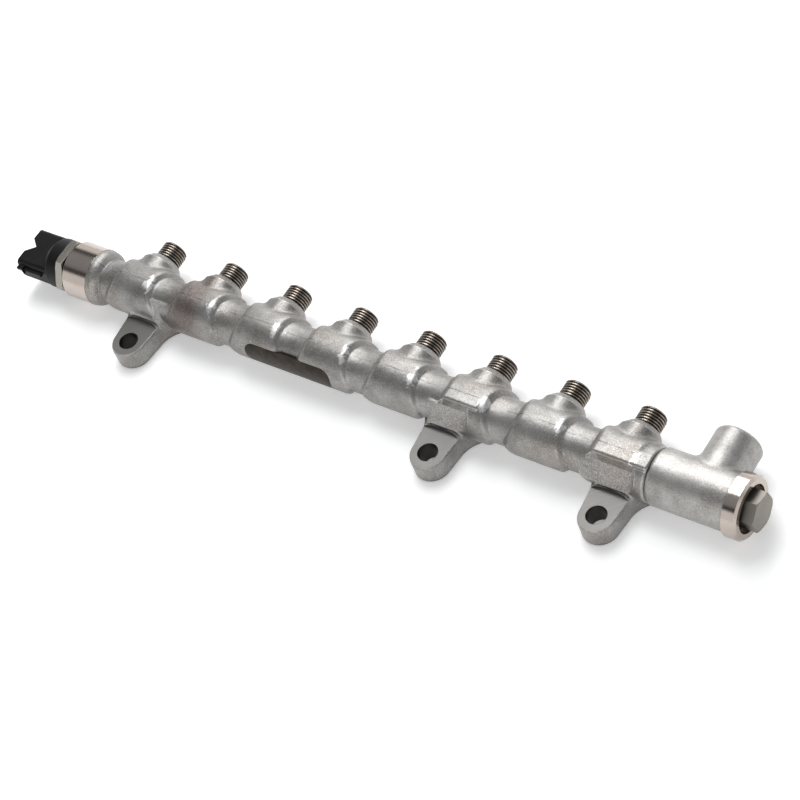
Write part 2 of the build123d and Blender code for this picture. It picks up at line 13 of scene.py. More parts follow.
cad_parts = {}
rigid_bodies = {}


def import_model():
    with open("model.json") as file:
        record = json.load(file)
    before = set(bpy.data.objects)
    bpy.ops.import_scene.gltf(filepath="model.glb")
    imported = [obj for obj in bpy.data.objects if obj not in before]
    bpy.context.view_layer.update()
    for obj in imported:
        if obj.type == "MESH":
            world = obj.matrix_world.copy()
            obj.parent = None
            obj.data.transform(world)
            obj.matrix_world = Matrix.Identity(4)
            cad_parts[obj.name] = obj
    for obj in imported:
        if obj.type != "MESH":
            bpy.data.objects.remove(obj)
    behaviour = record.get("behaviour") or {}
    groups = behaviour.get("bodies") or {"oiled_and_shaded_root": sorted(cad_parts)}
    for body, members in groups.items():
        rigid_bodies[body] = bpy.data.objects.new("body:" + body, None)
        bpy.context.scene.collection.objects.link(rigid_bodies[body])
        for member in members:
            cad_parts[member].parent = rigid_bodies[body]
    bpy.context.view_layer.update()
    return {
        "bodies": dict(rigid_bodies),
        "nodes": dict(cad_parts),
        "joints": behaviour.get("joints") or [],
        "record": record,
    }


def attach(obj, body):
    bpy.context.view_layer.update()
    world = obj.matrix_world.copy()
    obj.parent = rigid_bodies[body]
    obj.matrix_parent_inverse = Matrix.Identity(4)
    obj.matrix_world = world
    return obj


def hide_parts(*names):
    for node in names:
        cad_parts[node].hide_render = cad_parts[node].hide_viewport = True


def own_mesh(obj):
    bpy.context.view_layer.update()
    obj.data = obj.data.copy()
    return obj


log = logging.getLogger("fuel_rail")

Tree = bpy.types.NodeTree
Socket = bpy.types.NodeSocket

MM = 0.001

# The rail's axis, its eight outlets, its three lugs and the start of its barrel.
AXIS_Y = 28.0 * MM
AXIS_Z = 16.0 * MM
NOZZLE_PITCH = 42.0 * MM
FIRST_NOZZLE_X = -198.6 * MM
NOZZLE_COUNT = 8
LUG_XS = (-190.7 * MM, 0.0, 95.4 * MM)
BARREL_X = 112.0 * MM

# Vertices closer than this become one, and a cut closer than this to a vertex goes through it.
MERGE = 0.002 * MM
CUT_SLACK = 0.001 * MM

# Edges that turn by more than this stay sharp.
SHARP_ANGLE = math.radians(28)

# Sockets of a Mix node that mixes colours.
FACTOR, FIRST, SECOND, RESULT = 0, 6, 7, 2


class Body(Enum):
    """Body that the new pieces ride on."""

    RAIL = "rail"


class Slot(Enum):
    """Material slots of the record."""

    FORGED_STEEL = "forged_steel"
    SENSOR_STEEL = "sensor_steel"
    CELL_STEEL = "cell_steel"
    CARRIER_PLASTIC = "carrier_plastic"
    BOARD_LAMINATE = "board_laminate"
    CHIP_EPOXY = "chip_epoxy"
    BLACK_PLASTIC = "black_plastic"
    SEAL_RUBBER = "seal_rubber"
    VALVE_STEEL = "valve_steel"
    HARDENED_STEEL = "hardened_steel"
    SPRING_STEEL = "spring_steel"
    TINNED_BRONZE = "tinned_bronze"


def linear(code: str) -> tuple[float, float, float, float]:
    """Turn an sRGB hex colour into linear light.

    Args:
        code: six hex digits.

    Returns:
        Linear red, green, blue and an alpha of 1.
    """
    parts = []
    for start in (0, 2, 4):
        value = int(code[start:start + 2], 16) / 255
        parts.append(value / 12.92 if value <= 0.04045 else ((value + 0.055) / 1.055) ** 2.4)
    return parts[0], parts[1], parts[2], 1.0


def put(
    tree: Tree,
    kind: str,
    inputs: dict[str | int, Any] | None = None,
    stops: tuple[tuple[float, str], ...] = (),
    **settings: Any,
) -> bpy.types.Node:
    """Add a node with its settings, input values and links.

    Args:
        tree: node tree that gets the node.
        kind: node type without the ShaderNode prefix.
        inputs: value or output socket for each input, by name or number.
        stops: positions and hex colours of a colour ramp.
        settings: attributes of the node.

    Returns:
        The new node.
    """
    node = tree.nodes.new("ShaderNode" + kind)
    for name, value in settings.items():
        setattr(node, name, value)
    for key, value in (inputs or {}).items():
        if isinstance(value, Socket):
            tree.links.new(value, node.inputs[key])
        else:
            node.inputs[key].default_value = value
    if stops:
        ramp = node.color_ramp
        while len(ramp.elements) < len(stops):
            ramp.elements.new(0.5)
        for element, (place, code) in zip(ramp.elements, stops):
            element.position = place
            element.color = linear(code)
    return node


def per_mm(size: float) -> float:
    """Give the texture scale at which one feature is as many millimetres as size."""
    return 1.0 / (size * MM)


def from_outlet(tree: Tree, place_x: Socket, aside: float) -> Socket:
    """Measure along the rail from a point beside the nearest outlet.

    Args:
        tree: node tree of the material.
        place_x: place along the rail.
        aside: distance of the point from the outlet's axis.

    Returns:
        The distance, with its sign.
    """
    shifted = put(tree, "Math", {0: place_x, 1: FIRST_NOZZLE_X + aside}, operation="SUBTRACT").outputs[0]
    return put(tree, "Math", {
        0: shifted, 1: NOZZLE_PITCH / 2, 2: -NOZZLE_PITCH / 2,
    }, operation="WRAP").outputs[0]


@dataclass(frozen=True)
class Finish:
    """A surface finish that makes one material."""

    name: str

    def material(self) -> bpy.types.Material:
        """Make the material and have its nodes laid out.

        Returns:
            The finished material.
        """
        made = bpy.data.materials.new(self.name)
        made.use_nodes = True
        made.node_tree.nodes.clear()
        shader = self.lay_out(made.node_tree)
        put(made.node_tree, "OutputMaterial", {"Surface": shader.outputs[0]})
        return made

    def lay_out(self, tree: Tree) -> bpy.types.Node:
        """Lay out the nodes; each finish has its own."""
        raise NotImplementedError


@dataclass(frozen=True)
class ForgedSteel(Finish):
    """Hot-forged carbon steel, shot-blasted: an even grey with a bright sparkle, painted shade in its
    creases, and soft, worn edges that are also painted highlights.
    """

    name: str = "shot_blasted_forged_steel"
    # Colours of the blasted skin, its flecks and pits, its stains, its dirt and the painted shade in its
    # creases, and its bare metal, which is also a painted highlight.
    shade: str = "918f8c"
    dark: str = "7b7874"
    pale: str = "a3a2a0"
    bright: str = "d2d2d1"
    pit: str = "56524e"
    warm: str = "8d8075"
    stain: str = "6d615b"
    grime_and_crease_shade: str = "2e2a27"
    rubbed_and_highlight: str = "ececea"
    # How much of the skin each of them covers.
    sparkle: float = 0.3
    least_sparkle: float = 0.4
    pitting: float = 0.3
    warmth: float = 0.35
    staining: float = 0.75
    crease_shade: float = 0.85
    seam_dirt: float = 0.5
    edge_wear_and_highlight: float = 0.7
    crown_wear_and_highlight: float = 0.8
    # Blasting grit and its flecks, forging scale, wide swells, worn edges that are also painted highlights,
    # and creases with painted shade.
    # Real grit is finer; this is as fine as still shows.
    grit_mm: float = 0.42
    fleck_mm: float = 0.63
    grit_depth_mm: float = 0.07
    scale_mm: float = 9.0
    scale_depth_mm: float = 0.5
    swell_mm: float = 28.8
    edge_mm: float = 0.9
    crease_mm: float = 3.2
    # Heat stain round the second block.
    stain_x_mm: float = -163.0
    stain_core_mm: float = 4.0
    stain_reach_mm: float = 15.0
    # Line where the dies met, beside the crown.
    seam_aside_mm: float = -1.1
    seam_drift_mm: float = 1.2
    seam_core_mm: float = 0.12
    seam_reach_mm: float = 0.42
    seam_break_mm: float = 9.0
    seam_rise_mm: float = 9.0
    # Rubbed patch on the crown of each block, which is also a painted highlight: its middle, half its size
    # and how torn its rim is.
    wear_highlight_x_mm: float = 10.6
    wear_highlight_y_mm: float = -1.5
    wear_highlight_half_length_mm: float = 2.6
    wear_highlight_half_width_mm: float = 5.0
    wear_highlight_low_mm: float = 8.0
    wear_highlight_high_mm: float = 12.0
    wear_highlight_tear_mm: float = 3.4
    wear_highlight_tear: float = 4.2
    wear_highlight_fray: float = 0.8
    wear_highlight_start: float = 3.35
    wear_highlight_full: float = 3.0
    roughness: float = 0.42
    rubbed_and_highlight_roughness: float = 0.3

    def lay_out(self, tree: Tree) -> bpy.types.Node:
        """Lay out blasted grit, forging scale, stains, a dark parting line, painted shade in creases, worn
        crowns and edges that are also painted highlights, and soft edges.

        Args:
            tree: node tree of the material.

        Returns:
            The surface shader.
        """
        place = put(tree, "TexCoord").outputs["Object"]
        grit, fleck, cloud, swell = (
            put(tree, "TexNoise", {
                "Vector": place, "Scale": per_mm(size), "Detail": detail, "Roughness": roughness,
            }).outputs["Fac"]
            for size, detail, roughness in (
                (self.grit_mm, 3.0, 0.65),
                (self.fleck_mm, 1.0, 0.5),
                (self.scale_mm, 4.0, 0.6),
                (self.swell_mm, 2.0, 0.5),
            )
        )
        shelter = put(tree, "AmbientOcclusion", {"Distance": self.crease_mm * MM}, samples=6).outputs["AO"]
        soft = put(tree, "Bevel", {"Radius": self.edge_mm * MM}, samples=6).outputs["Normal"]
        blasted = put(tree, "MapRange", {
            "Value": swell, "From Min": 0.35, "From Max": 0.6,
            "To Min": self.sparkle * self.least_sparkle, "To Max": self.sparkle,
        }).outputs["Result"]
        # Value that each layer follows, where it starts, where it is full, its cover and its colour.
        stained = (self.from_stain(tree, place), self.stain_reach_mm * MM, self.stain_core_mm * MM)
        layers = [
            (put(tree, "MapRange", {
                "Value": value, "From Min": start, "From Max": full, "To Max": cover,
            }).outputs["Result"], code)
            for value, start, full, cover, code in (
                (swell, 0.5, 0.72, self.warmth, self.warm),
                (*stained, self.staining, self.stain),
                (fleck, 0.56, 0.66, blasted, self.bright),
                (fleck, 0.44, 0.34, self.pitting, self.pit),
                # Painted shade: darker in the creases, where ambient occlusion is low.
                (shelter, 0.83, 0.55, self.crease_shade, self.grime_and_crease_shade),
            )
        ]
        layers.append((self.parting_line(tree, place, cloud), self.grime_and_crease_shade))
        # Bright crowns and edges: rubbed metal and painted highlights.
        worn_and_highlit = put(tree, "Math", {
            0: self.worn_and_highlit_crown(tree, place, grit), 1: self.worn_and_highlit_edge(tree, soft, shelter),
        }, operation="MAXIMUM").outputs[0]
        layers.append((worn_and_highlit, self.rubbed_and_highlight))
        colour = put(tree, "ValToRGB", {"Fac": cloud}, stops=(
            (0.25, self.dark), (0.5, self.shade), (0.78, self.pale),
        )).outputs["Color"]
        for mask, code in layers:
            colour = put(tree, "Mix", {
                FACTOR: mask, FIRST: colour, SECOND: linear(code),
            }, data_type="RGBA").outputs[RESULT]
        rough = put(tree, "MapRange", {
            "Value": worn_and_highlit, "To Min": self.roughness, "To Max": self.rubbed_and_highlight_roughness,
        }).outputs["Result"]
        lumps = put(tree, "Bump", {
            "Height": cloud, "Distance": self.scale_depth_mm * MM, "Strength": 0.55, "Normal": soft,
        }).outputs["Normal"]
        skin = put(tree, "Bump", {
            "Height": grit, "Distance": self.grit_depth_mm * MM, "Strength": 0.75, "Normal": lumps,
        }).outputs["Normal"]
        return put(tree, "BsdfPrincipled", {
            "Base Color": colour, "Metallic": 0.9, "Roughness": rough, "Normal": skin,
        })

    def from_stain(self, tree: Tree, place: Socket) -> Socket:
        """Measure along the rail from the middle of the heat stain.

        Args:
            tree: node tree of the material.
            place: object coordinates.

        Returns:
            The distance, without its sign.
        """
        along = put(tree, "SeparateXYZ", {"Vector": place}).outputs["X"]
        aside = put(tree, "Math", {0: along, 1: self.stain_x_mm * MM}, operation="SUBTRACT").outputs[0]
        return put(tree, "Math", {0: aside}, operation="ABSOLUTE").outputs[0]

    def worn_and_highlit_edge(self, tree: Tree, rounded: Socket, shelter: Socket) -> Socket:
        """Find the standing edges that handling rubs bright and that are also painted bright as a highlight.

        Args:
            tree: node tree of the material.
            rounded: normal from a Bevel node.
            shelter: ambient occlusion, which is low in hollows.

        Returns:
            A mask that is high on standing edges and 0 in hollows.
        """
        straight = put(tree, "NewGeometry").outputs["Normal"]
        alike = put(tree, "VectorMath", {0: rounded, 1: straight}, operation="DOT_PRODUCT").outputs["Value"]
        edge = put(tree, "MapRange", {
            "Value": alike, "From Min": 0.99, "From Max": 0.93, "To Max": self.edge_wear_and_highlight,
        }).outputs["Result"]
        open_air = put(tree, "MapRange", {
            "Value": shelter, "From Min": 0.8, "From Max": 0.95,
        }).outputs["Result"]
        return put(tree, "Math", {0: edge, 1: open_air}, operation="MULTIPLY").outputs[0]

    def parting_line(self, tree: Tree, place: Socket, cloud: Socket) -> Socket:
        """Lay out the faint dark line where the dies met, along the crowns of the blocks.

        Args:
            tree: node tree of the material.
            place: object coordinates.
            cloud: uneven noise that lets the line drift.

        Returns:
            A mask that is high on the line.
        """
        axes = put(tree, "SeparateXYZ", {"Vector": place})
        middle = put(tree, "Math", {
            0: cloud, 1: self.seam_drift_mm * MM, 2: AXIS_Y + self.seam_aside_mm * MM,
        }, operation="MULTIPLY_ADD").outputs[0]
        aside = put(tree, "Math", {0: axes.outputs["Y"], 1: middle}, operation="SUBTRACT").outputs[0]
        away = put(tree, "Math", {0: aside}, operation="ABSOLUTE").outputs[0]
        line = put(tree, "MapRange", {
            "Value": away, "From Min": self.seam_reach_mm * MM, "From Max": self.seam_core_mm * MM,
            "To Max": self.seam_dirt,
        }).outputs["Result"]
        breaks = put(tree, "TexNoise", {
            "W": axes.outputs["X"], "Scale": per_mm(self.seam_break_mm), "Detail": 2.0,
        }, noise_dimensions="1D").outputs["Fac"]
        shown = put(tree, "MapRange", {
            "Value": breaks, "From Min": 0.42, "From Max": 0.56,
        }).outputs["Result"]
        high = put(tree, "Math", {
            0: axes.outputs["Z"], 1: AXIS_Z + self.seam_rise_mm * MM,
        }, operation="GREATER_THAN").outputs[0]
        on_blocks = put(tree, "Math", {0: axes.outputs["X"], 1: BARREL_X}, operation="LESS_THAN").outputs[0]
        for limit in (shown, high, on_blocks):
            line = put(tree, "Math", {0: line, 1: limit}, operation="MULTIPLY").outputs[0]
        return line

    def worn_and_highlit_crown(self, tree: Tree, place: Socket, grit: Socket) -> Socket:
        """Lay out the bright rubbed patch on the crown of each block, beside its outlet, which is also a
        painted highlight.

        Args:
            tree: node tree of the material.
            place: object coordinates.
            grit: fine noise that frays the patch.

        Returns:
            A mask that is high in a patch.
        """
        axes = put(tree, "SeparateXYZ", {"Vector": place})
        along = from_outlet(tree, axes.outputs["X"], self.wear_highlight_x_mm * MM)
        across = put(tree, "Math", {
            0: axes.outputs["Y"], 1: AXIS_Y + self.wear_highlight_y_mm * MM,
        }, operation="SUBTRACT").outputs[0]
        spot = put(tree, "CombineXYZ", {0: along, 1: across}).outputs[0]
        sized = put(tree, "VectorMath", {
            0: spot, 1: (per_mm(self.wear_highlight_half_length_mm), per_mm(self.wear_highlight_half_width_mm), 0.0),
        }, operation="MULTIPLY").outputs["Vector"]
        reach = put(tree, "VectorMath", {0: sized}, operation="LENGTH").outputs["Value"]
        tatter = put(tree, "TexNoise", {
            "Vector": place, "Scale": per_mm(self.wear_highlight_tear_mm), "Detail": 3.0, "Roughness": 0.6,
            "Distortion": 0.6,
        }).outputs["Fac"]
        for noise, much in ((tatter, self.wear_highlight_tear), (grit, self.wear_highlight_fray)):
            reach = put(tree, "Math", {0: noise, 1: much, 2: reach}, operation="MULTIPLY_ADD").outputs[0]
        patch = put(tree, "MapRange", {
            "Value": reach, "From Min": self.wear_highlight_start, "From Max": self.wear_highlight_full,
            "To Max": self.crown_wear_and_highlight,
        }).outputs["Result"]
        high = put(tree, "MapRange", {
            "Value": axes.outputs["Z"], "From Min": AXIS_Z + self.wear_highlight_low_mm * MM,
            "From Max": AXIS_Z + self.wear_highlight_high_mm * MM,
        }).outputs["Result"]
        beside_last = FIRST_NOZZLE_X + NOZZLE_PITCH * (NOZZLE_COUNT - 0.5)
        inside = put(tree, "Math", {0: axes.outputs["X"], 1: beside_last}, operation="LESS_THAN").outputs[0]
        for limit in (high, inside):
            patch = put(tree, "Math", {0: patch, 1: limit}, operation="MULTIPLY").outputs[0]
        return patch


@dataclass(frozen=True)
class CutSteel(Finish):
    """Bare steel left by a cutting tool: fine even lines that draw a highlight out across them."""

    name: str = "turned_steel"
    shade: str = "b9b3ae"
    tint: str = "a79b93"
    roughness: float = 0.2
    smoothest: float = 0.75
    roughest: float = 1.3
    line_mm: float = 0.35
    depth_mm: float = 0.012
    bloom_mm: float = 14.0
    edge_mm: float = 0.25

    def lay_out(self, tree: Tree) -> bpy.types.Node:
        """Lay out tool lines round the rail's axis and a faint handling tint.

        Args:
            tree: node tree of the material.

        Returns:
            The surface shader.
        """
        place = put(tree, "TexCoord").outputs["Object"]
        along = put(tree, "SeparateXYZ", {"Vector": place}).outputs["X"]
        centred = put(tree, "VectorMath", {
            0: place, 1: (0.0, AXIS_Y, AXIS_Z),
        }, operation="SUBTRACT").outputs["Vector"]
        flat = put(tree, "VectorMath", {
            0: centred, 1: (0.0, 1.0, 1.0),
        }, operation="MULTIPLY").outputs["Vector"]
        radius = put(tree, "VectorMath", {0: flat}, operation="LENGTH").outputs["Value"]
        walk = put(tree, "Math", {0: along, 1: radius}, operation="ADD").outputs[0]
        lines = put(tree, "TexNoise", {
            "W": walk, "Scale": per_mm(self.line_mm), "Detail": 2.0, "Roughness": 0.5,
        }, noise_dimensions="1D").outputs["Fac"]
        bloom = put(tree, "TexNoise", {
            "Vector": place, "Scale": per_mm(self.bloom_mm), "Detail": 3.0,
        }).outputs["Fac"]
        colour = put(tree, "Mix", {
            FACTOR: bloom, FIRST: linear(self.shade), SECOND: linear(self.tint),
        }, data_type="RGBA").outputs[RESULT]
        rough = put(tree, "MapRange", {
            "Value": lines,
            "To Min": self.roughness * self.smoothest,
            "To Max": self.roughness * self.roughest,
        }).outputs["Result"]
        soft = put(tree, "Bevel", {"Radius": self.edge_mm * MM}, samples=4).outputs["Normal"]
        normal = put(tree, "Bump", {
            "Height": lines, "Distance": self.depth_mm * MM, "Strength": 0.6, "Normal": soft,
        }).outputs["Normal"]
        return put(tree, "BsdfPrincipled", {
            "Base Color": colour, "Metallic": 1.0, "Roughness": rough, "Normal": normal,
        })


@dataclass(frozen=True)
class ThreadSteel(Finish):
    """Cut outlet thread under a film of preserving oil: brown oil and painted shade in the roots, a painted
    highlight on the crests.
    """

    name: str = "oiled_thread_steel_painted_light"
    oiled_and_shaded_root: str = "4a433c"
    flank: str = "8a8178"
    crest_highlight: str = "d2ccc5"
    root_r_mm: float = 6.3
    crest_r_mm: float = 6.95
    smear_mm: float = 2.2
    depth_mm: float = 0.03
    roughness: float = 0.32

    def lay_out(self, tree: Tree) -> bpy.types.Node:
        """Lay out a painted highlight on the crests over painted shade in the roots, by distance from each
        outlet's axis.

        Args:
            tree: node tree of the material.

        Returns:
            The surface shader.
        """
        place = put(tree, "TexCoord").outputs["Object"]
        axes = put(tree, "SeparateXYZ", {"Vector": place})
        along = from_outlet(tree, axes.outputs["X"], 0.0)
        up = put(tree, "Math", {0: axes.outputs["Z"], 1: AXIS_Z}, operation="SUBTRACT").outputs[0]
        spoke = put(tree, "CombineXYZ", {0: along, 1: up}).outputs[0]
        radius = put(tree, "VectorMath", {0: spoke}, operation="LENGTH").outputs["Value"]
        smear = put(tree, "TexNoise", {
            "Vector": place, "Scale": per_mm(self.smear_mm), "Detail": 3.0,
        }).outputs["Fac"]
        height = put(tree, "MapRange", {
            "Value": radius, "From Min": self.root_r_mm * MM, "From Max": self.crest_r_mm * MM,
        }).outputs["Result"]
        shine = put(tree, "MapRange", {
            "Value": smear, "From Min": 0.3, "From Max": 0.7, "To Min": 0.6, "To Max": 1.0,
        }).outputs["Result"]
        level = put(tree, "Math", {0: height, 1: shine}, operation="MULTIPLY").outputs[0]
        # Painted shade in the roots and a painted highlight on the crests, dimmed in patches of oil.
        colour = put(tree, "ValToRGB", {"Fac": level}, stops=(
            (0.0, self.oiled_and_shaded_root), (0.5, self.flank), (1.0, self.crest_highlight),
        )).outputs["Color"]
        normal = put(tree, "Bump", {
            "Height": smear, "Distance": self.depth_mm * MM, "Strength": 0.5,
        }).outputs["Normal"]
        return put(tree, "BsdfPrincipled", {
            "Base Color": colour, "Metallic": 1.0, "Roughness": self.roughness, "Normal": normal,
        })


@dataclass(frozen=True)
class Moulding(Finish):
    """Moulded or pressed non-metal: an even skin with a fine spark-eroded grain."""

    name: str = "moulded_nylon"
    shade: str = "060607"
    pale: str = "0e0e10"
    roughness: float = 0.45
    smoothest: float = 0.8
    roughest: float = 1.25
    gloss: float = 0.2
    grain_mm: float = 0.5
    cloud_mm: float = 6.0
    depth_mm: float = 0.03
    edge_mm: float = 0.3

    def lay_out(self, tree: Tree) -> bpy.types.Node:
        """Lay out the moulded grain and a faint bloom of dust.

        Args:
            tree: node tree of the material.

        Returns:
            The surface shader.
        """
        place = put(tree, "TexCoord").outputs["Object"]
        grain, cloud = (
            put(tree, "TexNoise", {"Vector": place, "Scale": per_mm(size), "Detail": detail}).outputs["Fac"]
            for size, detail in ((self.grain_mm, 2.0), (self.cloud_mm, 4.0))
        )
        bloom = put(tree, "MapRange", {
            "Value": cloud, "From Min": 0.4, "From Max": 0.75,
        }).outputs["Result"]
        colour = put(tree, "Mix", {
            FACTOR: bloom, FIRST: linear(self.shade), SECOND: linear(self.pale),
        }, data_type="RGBA").outputs[RESULT]
        rough = put(tree, "MapRange", {
            "Value": cloud,
            "To Min": self.roughness * self.smoothest,
            "To Max": self.roughness * self.roughest,
        }).outputs["Result"]
        soft = put(tree, "Bevel", {"Radius": self.edge_mm * MM}, samples=4).outputs["Normal"]
        normal = put(tree, "Bump", {
            "Height": grain, "Distance": self.depth_mm * MM, "Strength": 0.5, "Normal": soft,
        }).outputs["Normal"]
        return put(tree, "BsdfPrincipled", {
            "Base Color": colour, "Metallic": 0.0, "Roughness": rough, "Normal": normal,
            "Specular IOR Level": self.gloss,
        })


@dataclass(frozen=True)
class Coating(Finish):
    """Dark blackening brushed over steel: brown-black, satin, thinner in patches."""

    name: str = "blackened_steel"
    shade: str = "29241f"
    thin: str = "453c33"
    roughness: float = 0.4
    smoothest: float = 0.8
    roughest: float = 1.3
    film_mm: float = 5.0
    grit_mm: float = 0.9
    depth_mm: float = 0.05
    edge_mm: float = 0.3

    def lay_out(self, tree: Tree) -> bpy.types.Node:
        """Lay out the uneven film.

        Args:
            tree: node tree of the material.

        Returns:
            The surface shader.
        """
        place = put(tree, "TexCoord").outputs["Object"]
        film = put(tree, "TexNoise", {
            "Vector": place, "Scale": per_mm(self.film_mm), "Detail": 5.0, "Roughness": 0.6,
        }).outputs["Fac"]
        grit = put(tree, "TexNoise", {
            "Vector": place, "Scale": per_mm(self.grit_mm), "Detail": 2.0,
        }).outputs["Fac"]
        patch = put(tree, "MapRange", {
            "Value": film, "From Min": 0.4, "From Max": 0.7,
        }).outputs["Result"]
        colour = put(tree, "Mix", {
            FACTOR: patch, FIRST: linear(self.shade), SECOND: linear(self.thin),
        }, data_type="RGBA").outputs[RESULT]
        rough = put(tree, "MapRange", {
            "Value": film,
            "To Min": self.roughness * self.smoothest,
            "To Max": self.roughness * self.roughest,
        }).outputs["Result"]
        soft = put(tree, "Bevel", {"Radius": self.edge_mm * MM}, samples=4).outputs["Normal"]
        normal = put(tree, "Bump", {
            "Height": grit, "Distance": self.depth_mm * MM, "Strength": 0.6, "Normal": soft,
        }).outputs["Normal"]
        return put(tree, "BsdfPrincipled", {
            "Base Color": colour, "Metallic": 0.8, "Roughness": rough, "Normal": normal,
        })


FINISHES: dict[Slot, Finish] = {
    # Cold-drawn stainless hexagon: a warm grey that darkens away from the lamp.
    Slot.SENSOR_STEEL: CutSteel(name="drawn_stainless_steel", shade="a8a39c", tint="8f8a82", roughness=0.28),
    # Lapped stainless membrane: close to a mirror.
    Slot.CELL_STEEL: CutSteel(name="lapped_stainless_steel", shade="c4c4c2", tint="b0b0ae", roughness=0.12),
    # Moulded glass-filled plastic, in a milky grey.
    Slot.CARRIER_PLASTIC: Moulding(name="glass_filled_plastic", shade="b9b5a8", pale="cfcbbf", roughness=0.5),
    # Glass and resin board: a green lacquer with a low gloss.
    Slot.BOARD_LAMINATE: Moulding(name="lacquered_laminate", shade="1f5a35", pale="2f7048", roughness=0.35),
    # Moulded epoxy: a flat near-black.
    Slot.CHIP_EPOXY: Moulding(
        name="moulded_epoxy", shade="1b1b1b", pale="2b2b2b", roughness=0.6, grain_mm=0.3,
    ),
    # Moulded glass-filled nylon: black, satin, with a bloom of dust.
    Slot.BLACK_PLASTIC: Moulding(),
    # Pressed fluorocarbon rubber: black and dull.
    Slot.SEAL_RUBBER: Moulding(name="pressed_rubber", shade="101010", pale="1c1c1c", roughness=0.7),
    # Turned steel with a thin phosphate film: a dull warm grey.
    Slot.VALVE_STEEL: CutSteel(
        name="phosphated_steel", shade="928d87", tint="77726c", roughness=0.42, line_mm=0.5,
    ),
    # Ground, hardened steel: light and clean.
    Slot.HARDENED_STEEL: CutSteel(name="ground_hard_steel", shade="c0bfbd", tint="a9a8a6", roughness=0.18),
    # Drawn spring wire: dark with an oily sheen.
    Slot.SPRING_STEEL: CutSteel(name="drawn_spring_wire", shade="6f6c69", tint="54514e", roughness=0.3),
    # Tinned bronze strip: a soft bright grey.
    Slot.TINNED_BRONZE: CutSteel(name="tinned_bronze_strip", shade="cfcbc3", tint="bdb7ac", roughness=0.25),
}


def copy_solid(frame: dict[str, Any], name: str) -> bmesh.types.BMesh:
    """Copy a solid of the frame, with its loose triangles joined and smooth.

    Args:
        name: the solid's node.

    Returns:
        The copy, in metres.
    """
    shape = bmesh.new()
    shape.from_mesh(frame["nodes"][name].data)
    bmesh.ops.remove_doubles(shape, verts=shape.verts, dist=MERGE)
    for face in shape.faces:
        face.smooth = True
    return shape


def face_outwards(shape: bmesh.types.BMesh) -> None:
    """Turn every face of a closed shape outwards.

    Args:
        shape: a closed shape.
    """
    bmesh.ops.recalc_face_normals(shape, faces=shape.faces)
    if shape.calc_volume(signed=True) < 0:
        bmesh.ops.reverse_faces(shape, faces=shape.faces)


def add_piece(
    name: str,
    shape: bmesh.types.BMesh,
    materials: list[bpy.types.Material],
    sharp: float | None = SHARP_ANGLE,
) -> bpy.types.Object:
    """Turn a shape into an object of the scene.

    Args:
        name: the piece's name.
        shape: the piece's shape, which is used up.
        materials: its finishes, in the order of the faces' material numbers.
        sharp: angle past which its edges stay sharp, or None for a flat-shaded piece.

    Returns:
        The new object.
    """
    mesh = bpy.data.meshes.new(name)
    shape.to_mesh(mesh)
    shape.free()
    if "custom_normal" in mesh.attributes:
        # Normals that came along with a copied solid would smooth over its sharp edges.
        mesh.attributes.remove(mesh.attributes["custom_normal"])
    if sharp is not None:
        mesh.set_sharp_from_angle(angle=sharp)
    for material in materials:
        mesh.materials.append(material)
    piece = bpy.data.objects.new(name, mesh)
    bpy.context.collection.objects.link(piece)
    log.info("%s: %d faces", name, len(mesh.polygons))
    return piece


class Zone(Enum):
    """Parts of the rail's surface that have a finish of their own, as material numbers."""

    FORGED = 0
    MILLED = 1
    TURNED = 2
    BORED = 3
    THREAD = 4
    WEB = 5
    BAND = 6
    BARREL = 7


